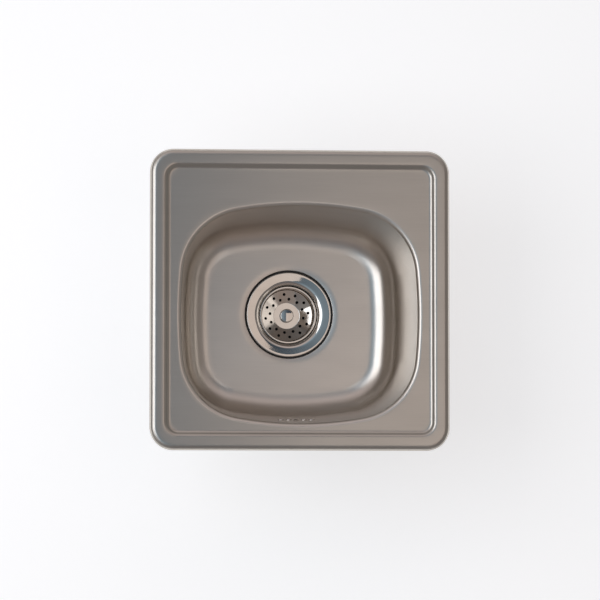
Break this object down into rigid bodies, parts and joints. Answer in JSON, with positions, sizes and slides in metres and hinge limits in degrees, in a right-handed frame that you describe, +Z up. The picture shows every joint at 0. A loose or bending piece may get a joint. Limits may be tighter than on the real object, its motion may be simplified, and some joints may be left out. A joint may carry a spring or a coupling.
{
  "type": "kitchen sink",
  "caption": "Square inset single bowl kitchen sink pressed from brushed stainless sheet, with a lift-out basket waste, an overflow and swing-out worktop clips.",
  "frame": {"origin": "centre of the square rim's outline, on the worktop's top plane where the rim rests", "axes": "+X to the right, +Y to the back (the wide ledge), +Z up out of the bowl"},
  "size_m": [0.38, 0.38, 0.2738],
  "materials": {
    "pressed_steel": "satin brushed stainless sheet",
    "galvanised_steel": "galvanised strip",
    "zinc_steel": "zinc plated fasteners",
    "polished_steel": "polished stainless pressing",
    "foam": "closed cell foam strip",
    "damping_pad": "bitumen damping sheet",
    "seal_rubber": "moulded rubber",
    "moulding": "moulded polypropylene",
    "stem_moulding": "moulded acetal",
    "brass": "turned brass"
  },
  "bodies": {
    "sink": {"sink_shell": "pressed_steel", "rim_seal": "foam", "fixing_rail_right": "galvanised_steel", "fixing_rail_back": "galvanised_steel", "fixing_rail_left": "galvanised_steel", "fixing_rail_front": "galvanised_steel", "clip_bolts": "zinc_steel", "sound_pad_left": "damping_pad", "sound_pad_right": "damping_pad", "waste_cup": "polished_steel", "flange_seal": "seal_rubber", "body_gasket": "seal_rubber", "waste_body": "moulding", "centre_screw": "zinc_steel", "screw_insert": "brass", "overflow_head": "moulding", "overflow_gasket": "seal_rubber", "overflow_screw": "polished_steel", "overflow_pipe": "moulding", "overflow_nut_top": "moulding", "overflow_nut_bottom": "moulding", "overflow_seal_top": "seal_rubber", "overflow_seal_bottom": "seal_rubber"},
    "stopper": {"basket_stopper": "seal_rubber"},
    "basket": {"basket_dish": "polished_steel", "basket_knob": "polished_steel", "basket_stem": "stem_moulding", "stopper_retainer": "stem_moulding"},
    "nut_1": {"clip_nut_1": "zinc_steel"},
    "claw_1": {"clip_claw_1": "zinc_steel"},
    "nut_2": {"clip_nut_2": "zinc_steel"},
    "claw_2": {"clip_claw_2": "zinc_steel"},
    "nut_3": {"clip_nut_3": "zinc_steel"},
    "claw_3": {"clip_claw_3": "zinc_steel"},
    "nut_4": {"clip_nut_4": "zinc_steel"},
    "claw_4": {"clip_claw_4": "zinc_steel"},
    "nut_5": {"clip_nut_5": "zinc_steel"},
    "claw_5": {"clip_claw_5": "zinc_steel"},
    "nut_6": {"clip_nut_6": "zinc_steel"},
    "claw_6": {"clip_claw_6": "zinc_steel"},
    "nut_7": {"clip_nut_7": "zinc_steel"},
    "claw_7": {"clip_claw_7": "zinc_steel"},
    "nut_8": {"clip_nut_8": "zinc_steel"},
    "claw_8": {"clip_claw_8": "zinc_steel"}
  },
  "joints": [
    {"name": "basket_lift", "type": "slide", "parent": "sink", "child": "stopper", "axis": [0, 0, 1], "range_m": [0, 0.2]},
    {"name": "basket_turn", "type": "hinge", "parent": "stopper", "child": "basket", "pos_m": [0, -0.0098, -0.18], "axis": [0, 0, 1], "continuous": true},
    {"name": "clip_slide_1", "type": "slide", "parent": "sink", "child": "nut_1", "axis": [0, 0, 1], "range_m": [-0.005, 0.012]},
    {"name": "clip_swing_1", "type": "hinge", "parent": "nut_1", "child": "claw_1", "pos_m": [0.1654, 0.1, -0.047], "axis": [0, 0, 1], "range_deg": [0, 90]},
    {"name": "clip_slide_2", "type": "slide", "parent": "sink", "child": "nut_2", "axis": [0, 0, 1], "range_m": [-0.005, 0.012]},
    {"name": "clip_swing_2", "type": "hinge", "parent": "nut_2", "child": "claw_2", "pos_m": [0.1654, -0.1, -0.047], "axis": [0, 0, -1], "range_deg": [0, 90]},
    {"name": "clip_slide_3", "type": "slide", "parent": "sink", "child": "nut_3", "axis": [0, 0, 1], "range_m": [-0.005, 0.012]},
    {"name": "clip_swing_3", "type": "hinge", "parent": "nut_3", "child": "claw_3", "pos_m": [-0.1, 0.1654, -0.047], "axis": [0, 0, 1], "range_deg": [0, 90]},
    {"name": "clip_slide_4", "type": "slide", "parent": "sink", "child": "nut_4", "axis": [0, 0, 1], "range_m": [-0.005, 0.012]},
    {"name": "clip_swing_4", "type": "hinge", "parent": "nut_4", "child": "claw_4", "pos_m": [0.1, 0.1654, -0.047], "axis": [0, 0, -1], "range_deg": [0, 90]},
    {"name": "clip_slide_5", "type": "slide", "parent": "sink", "child": "nut_5", "axis": [0, 0, 1], "range_m": [-0.005, 0.012]},
    {"name": "clip_swing_5", "type": "hinge", "parent": "nut_5", "child": "claw_5", "pos_m": [-0.1654, -0.1, -0.047], "axis": [0, 0, 1], "range_deg": [0, 90]},
    {"name": "clip_slide_6", "type": "slide", "parent": "sink", "child": "nut_6", "axis": [0, 0, 1], "range_m": [-0.005, 0.012]},
    {"name": "clip_swing_6", "type": "hinge", "parent": "nut_6", "child": "claw_6", "pos_m": [-0.1654, 0.1, -0.047], "axis": [0, 0, -1], "range_deg": [0, 90]},
    {"name": "clip_slide_7", "type": "slide", "parent": "sink", "child": "nut_7", "axis": [0, 0, 1], "range_m": [-0.005, 0.012]},
    {"name": "clip_swing_7", "type": "hinge", "parent": "nut_7", "child": "claw_7", "pos_m": [0.1, -0.1654, -0.047], "axis": [0, 0, 1], "range_deg": [0, 90]},
    {"name": "clip_slide_8", "type": "slide", "parent": "sink", "child": "nut_8", "axis": [0, 0, 1], "range_m": [-0.005, 0.012]},
    {"name": "clip_swing_8", "type": "hinge", "parent": "nut_8", "child": "claw_8", "pos_m": [-0.1, -0.1654, -0.047], "axis": [0, 0, -1], "range_deg": [0, 90]}
  ]
}
